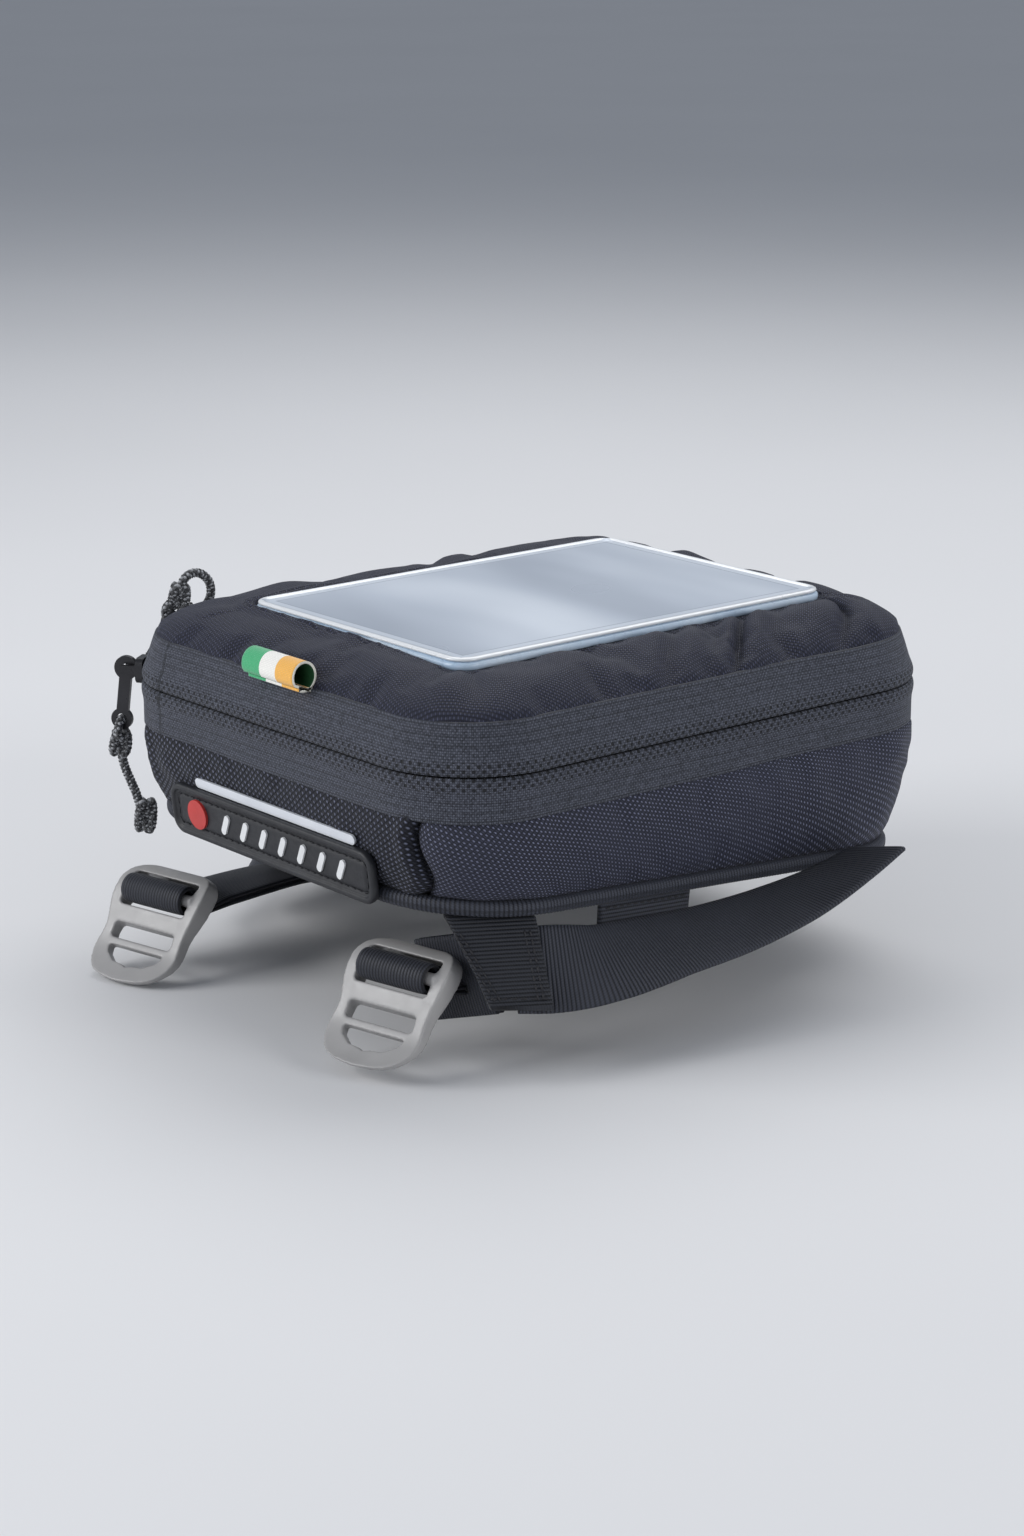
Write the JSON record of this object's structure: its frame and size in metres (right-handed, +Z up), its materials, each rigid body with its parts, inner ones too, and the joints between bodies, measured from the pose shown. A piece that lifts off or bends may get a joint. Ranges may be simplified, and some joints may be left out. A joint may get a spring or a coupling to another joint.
{
  "type": "motorcycle tank bag",
  "caption": "Small zip-lid tank bag with a raised clear phone window, rubber badge, corded zip pulls, side straps and ladder-lock buckles.",
  "frame": {"origin": "centre of the underside of the anti-slip base pad, the face that rests on the tank", "axes": "+Z up with the lid and zip level; the badge faces -Y, the lid's hinge is at +Y; the base falls 4.6 degrees towards the rear"},
  "size_m": [0.213, 0.2208, 0.1131],
  "materials": {
    "wall_fabric": "coarse basket-weave nylon, matte",
    "lid_fabric": "fine plain-weave polyester, soft sheen",
    "lining_fabric": "plain lining",
    "binding_fabric": "ribbed piping",
    "zip_tape": "knitted tape",
    "zip_coil": "nylon coil",
    "grip_rubber": "anti-slip",
    "board_plastic": "stiffener",
    "patch_rubber": "soft moulded rubber",
    "emblem_red": "moulded red disc",
    "print_white": "moulded white bars",
    "reflective": "silvery reflective tape",
    "webbing": "ribbed nylon webbing",
    "window_rim": "pale flexible rim",
    "window_film": "clear touch film over a pale sheet",
    "ribbon": "woven three-colour ribbon",
    "slider_metal": "black painted zinc",
    "paracord": "black and grey flecked braid",
    "buckle_plastic": "satin warm grey nylon"
  },
  "bodies": {
    "case": {"base_pad": "grip_rubber", "base_panel": "lining_fabric", "base_board": "board_plastic", "base_binding": "binding_fabric", "front_panel": "wall_fabric", "rear_panel": "wall_fabric", "left_side_panel": "wall_fabric", "right_side_panel": "wall_fabric", "lower_zip_tape": "zip_tape", "lower_zip_coil": "zip_coil", "rear_hinge": "lining_fabric", "rubber_patch": "patch_rubber", "patch_emblem": "emblem_red", "patch_bars": "print_white", "reflective_strip": "reflective", "anchor_left": "webbing", "anchor_right": "webbing", "mid_tab_left": "webbing", "mid_tab_right": "webbing"},
    "lid": {"top_panel": "lid_fabric", "upper_zip_tape": "zip_tape", "upper_zip_coil": "zip_coil", "window_insert": "window_rim", "window_film": "window_film", "pocket_gusset": "lining_fabric", "pocket_backing": "lining_fabric", "lid_liner": "lining_fabric", "ribbon_loop": "ribbon"},
    "slider_front": {"slider_front": "slider_metal"},
    "slider_rear": {"slider_rear": "slider_metal"},
    "pull_front": {"pull_tab_front": "slider_metal", "cord_loop_front": "paracord", "knot_front": "paracord", "pull_cord_front": "paracord", "end_knot_front": "paracord"},
    "pull_rear": {"pull_tab_rear": "slider_metal", "cord_loop_rear": "paracord", "knot_rear": "paracord", "pull_cord_rear": "paracord", "end_knot_rear": "paracord"},
    "strap_left": {"buckle_strap_left": "webbing"},
    "strap_right": {"buckle_strap_right": "webbing"},
    "buckle_left": {"buckle_left": "buckle_plastic"},
    "buckle_right": {"buckle_right": "buckle_plastic"},
    "tail_left": {"tail_left": "webbing"},
    "tail_right": {"tail_right": "webbing"}
  },
  "joints": [
    {"name": "lid_hinge", "type": "hinge", "parent": "case", "child": "lid", "pos_m": [0, 0.0993, 0.0494], "axis": [-1, 0, 0], "range_deg": [0, 100]},
    {"name": "slider_front_run", "type": "hinge", "parent": "case", "child": "slider_front", "pos_m": [-0.0535, -0.067, 0.0494], "axis": [0, 0, 1], "range_deg": [0, 48]},
    {"name": "slider_rear_run", "type": "slide", "parent": "case", "child": "slider_rear", "axis": [0, 1, 0], "range_m": [0, 0.12]},
    {"name": "pull_front_swing", "type": "hinge", "parent": "slider_front", "child": "pull_front", "pos_m": [-0.08602, -0.08977, 0.0494], "axis": [-0.5736, 0.8192, 0], "range_deg": [0, 115]},
    {"name": "pull_rear_swing", "type": "hinge", "parent": "slider_rear", "child": "pull_rear", "pos_m": [-0.0929, -0.0745, 0.0494], "axis": [0, -0.8924, 0.4512], "range_deg": [0, 160]},
    {"name": "strap_left_swing", "type": "hinge", "parent": "case", "child": "strap_left", "pos_m": [-0.057, -0.0546, -0.0178], "axis": [0, 0, 1], "range_deg": [-12, 12]},
    {"name": "strap_right_swing", "type": "hinge", "parent": "case", "child": "strap_right", "pos_m": [0.0715, -0.0754, -0.011], "axis": [0, 0, 1], "range_deg": [-5, 15]},
    {"name": "buckle_left_tilt", "type": "hinge", "parent": "strap_left", "child": "buckle_left", "pos_m": [-0.05597, -0.10016, -0.01451], "axis": [0.9781, 0.2079, 0], "range_deg": [-3, 8]},
    {"name": "buckle_right_tilt", "type": "hinge", "parent": "strap_right", "child": "buckle_right", "pos_m": [0.05403, -0.09366, -0.01111], "axis": [0.9781, 0.2079, 0], "range_deg": [-3, 8]},
    {"name": "tail_left_swing", "type": "hinge", "parent": "case", "child": "tail_left", "pos_m": [-0.0858, -0.0376, -0.0146], "axis": [0, 0, 1], "range_deg": [0, 40]},
    {"name": "tail_right_swing", "type": "hinge", "parent": "case", "child": "tail_right", "pos_m": [0.0858, -0.0646, -0.0086], "axis": [0, 0, -1], "range_deg": [0, 40]}
  ]
}
